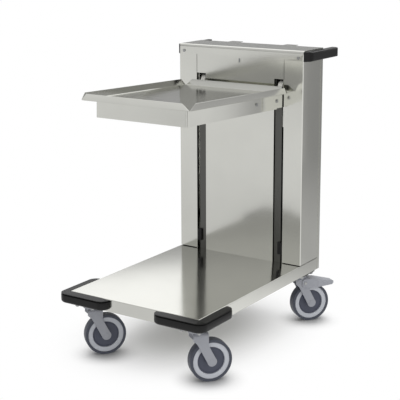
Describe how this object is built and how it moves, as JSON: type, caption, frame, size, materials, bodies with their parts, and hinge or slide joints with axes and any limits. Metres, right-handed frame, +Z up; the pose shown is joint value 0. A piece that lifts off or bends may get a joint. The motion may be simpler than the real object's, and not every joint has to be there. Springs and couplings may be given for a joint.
{
  "type": "mobile tray dispenser",
  "caption": "Open stainless trolley with a sprung platform that lifts stacked trays along a slotted tower, on swivel casters with rear brakes.",
  "frame": {"origin": "on the floor, at the middle of the footprint", "axes": "+Z up, -Y towards the open side where the trays go on, +Y towards the push handles"},
  "size_m": [0.5296, 0.81, 0.893],
  "materials": {
    "stainless": "fine brushed stainless sheet",
    "zinc": "dull zinc-plated steel",
    "bright_zinc": "bright zinc plating",
    "spring_steel": "drawn wire",
    "black_plastic": "fine grained moulding",
    "rubber": "matt",
    "white_plastic": "smooth, satin",
    "caster_grey": "satin grey",
    "wheel_blue": "satin blue grey",
    "rim_grey": "satin light grey",
    "tyre_blue": "matt blue-grey rubber"
  },
  "bodies": {
    "frame": {"deck_panel": "stainless", "front_crossmember": "zinc", "rear_crossmember": "zinc", "front_panel": "stainless", "side_panel_left": "stainless", "side_panel_right": "stainless", "rear_cover": "stainless", "guide_rail_left": "zinc", "guide_rail_right": "zinc", "spring_anchor_bar": "zinc", "rubber_stops": "rubber", "push_handle_left": "black_plastic", "push_handle_right": "black_plastic", "bumper_left": "black_plastic", "bumper_right": "black_plastic", "front_lock": "bright_zinc", "casing_screws": "bright_zinc", "caster_plates": "zinc", "caster_bolts": "bright_zinc", "kingpins": "bright_zinc"},
    "carriage": {"platform_tray": "stainless", "platform_skirt": "stainless", "lift_arm_left": "stainless", "lift_arm_right": "stainless", "carriage_beam": "zinc", "spring_pull_bar": "zinc", "arm_screws": "bright_zinc", "roller_pins": "bright_zinc", "lift_springs_left": "spring_steel", "lift_springs_right": "spring_steel"},
    "roller_upper_left": {"roller_upper_left": "white_plastic"},
    "roller_upper_right": {"roller_upper_right": "white_plastic"},
    "roller_lower_left": {"roller_lower_left": "white_plastic"},
    "roller_lower_right": {"roller_lower_right": "white_plastic"},
    "swivel_fl": {"fork_fl": "caster_grey", "axle_fl": "bright_zinc"},
    "wheel_fl": {"hub_fl": "wheel_blue", "rim_fl": "rim_grey", "tyre_fl": "tyre_blue"},
    "swivel_fr": {"fork_fr": "caster_grey", "axle_fr": "bright_zinc"},
    "wheel_fr": {"hub_fr": "wheel_blue", "rim_fr": "rim_grey", "tyre_fr": "tyre_blue"},
    "swivel_rl": {"fork_rl": "caster_grey", "axle_rl": "bright_zinc", "pedal_pin_rl": "bright_zinc"},
    "wheel_rl": {"hub_rl": "wheel_blue", "rim_rl": "rim_grey", "tyre_rl": "tyre_blue"},
    "brake_rl": {"pedal_rl": "caster_grey", "brake_shoe_rl": "rubber"},
    "swivel_rr": {"fork_rr": "caster_grey", "axle_rr": "bright_zinc", "pedal_pin_rr": "bright_zinc"},
    "wheel_rr": {"hub_rr": "wheel_blue", "rim_rr": "rim_grey", "tyre_rr": "tyre_blue"},
    "brake_rr": {"pedal_rr": "caster_grey", "brake_shoe_rr": "rubber"}
  },
  "joints": [
    {"name": "platform_lift", "type": "slide", "parent": "frame", "child": "carriage", "axis": [0, 0, 1], "range_m": [-0.435, 0], "stiffness_N_per_m": 1500, "springref_m": 0.1, "deforming": ["lift_springs_left", "lift_springs_right"]},
    {"name": "roller_upper_left_turn", "type": "hinge", "parent": "carriage", "child": "roller_upper_left", "pos_m": [-0.1508, 0.2295, 0.776], "axis": [1, 0, 0], "range_deg": [-1400, 1400]},
    {"name": "roller_upper_right_turn", "type": "hinge", "parent": "carriage", "child": "roller_upper_right", "pos_m": [0.1372, 0.2295, 0.776], "axis": [1, 0, 0], "range_deg": [-1400, 1400]},
    {"name": "roller_lower_left_turn", "type": "hinge", "parent": "carriage", "child": "roller_lower_left", "pos_m": [-0.1508, 0.2295, 0.666], "axis": [1, 0, 0], "range_deg": [-1400, 1400]},
    {"name": "roller_lower_right_turn", "type": "hinge", "parent": "carriage", "child": "roller_lower_right", "pos_m": [0.1372, 0.2295, 0.666], "axis": [1, 0, 0], "range_deg": [-1400, 1400]},
    {"name": "swivel_fl_turn", "type": "hinge", "parent": "frame", "child": "swivel_fl", "pos_m": [-0.1963, -0.3285, 0.155], "axis": [0, 0, 1], "continuous": true},
    {"name": "wheel_fl_roll", "type": "hinge", "parent": "swivel_fl", "child": "wheel_fl", "pos_m": [-0.17227, -0.29829, 0.0625], "axis": [0.7826, -0.6225, 0], "continuous": true},
    {"name": "swivel_fr_turn", "type": "hinge", "parent": "frame", "child": "swivel_fr", "pos_m": [0.1827, -0.3285, 0.155], "axis": [0, 0, 1], "continuous": true},
    {"name": "wheel_fr_roll", "type": "hinge", "parent": "swivel_fr", "child": "wheel_fr", "pos_m": [0.20673, -0.29829, 0.0625], "axis": [0.7826, -0.6225, 0], "continuous": true},
    {"name": "swivel_rl_turn", "type": "hinge", "parent": "frame", "child": "swivel_rl", "pos_m": [-0.1963, 0.269, 0.155], "axis": [0, 0, 1], "continuous": true},
    {"name": "wheel_rl_roll", "type": "hinge", "parent": "swivel_rl", "child": "wheel_rl", "pos_m": [-0.17227, 0.29921, 0.0625], "axis": [0.7826, -0.6225, 0], "continuous": true},
    {"name": "swivel_rr_turn", "type": "hinge", "parent": "frame", "child": "swivel_rr", "pos_m": [0.1827, 0.269, 0.155], "axis": [0, 0, 1], "continuous": true},
    {"name": "wheel_rr_roll", "type": "hinge", "parent": "swivel_rr", "child": "wheel_rr", "pos_m": [0.20673, 0.29921, 0.0625], "axis": [0.7826, -0.6225, 0], "continuous": true},
    {"name": "brake_rl_press", "type": "hinge", "parent": "swivel_rl", "child": "brake_rl", "pos_m": [-0.18758, 0.27996, 0.132], "axis": [-0.7826, 0.6225, 0], "range_deg": [0, 10]},
    {"name": "brake_rr_press", "type": "hinge", "parent": "swivel_rr", "child": "brake_rr", "pos_m": [0.19142, 0.27996, 0.132], "axis": [-0.7826, 0.6225, 0], "range_deg": [0, 10]}
  ],
  "couplings": [
    {"joint": "roller_upper_left_turn", "follows": "platform_lift", "rad_per_m": 55.556},
    {"joint": "roller_upper_right_turn", "follows": "platform_lift", "rad_per_m": 55.556},
    {"joint": "roller_lower_left_turn", "follows": "platform_lift", "rad_per_m": -55.556},
    {"joint": "roller_lower_right_turn", "follows": "platform_lift", "rad_per_m": -55.556}
  ]
}
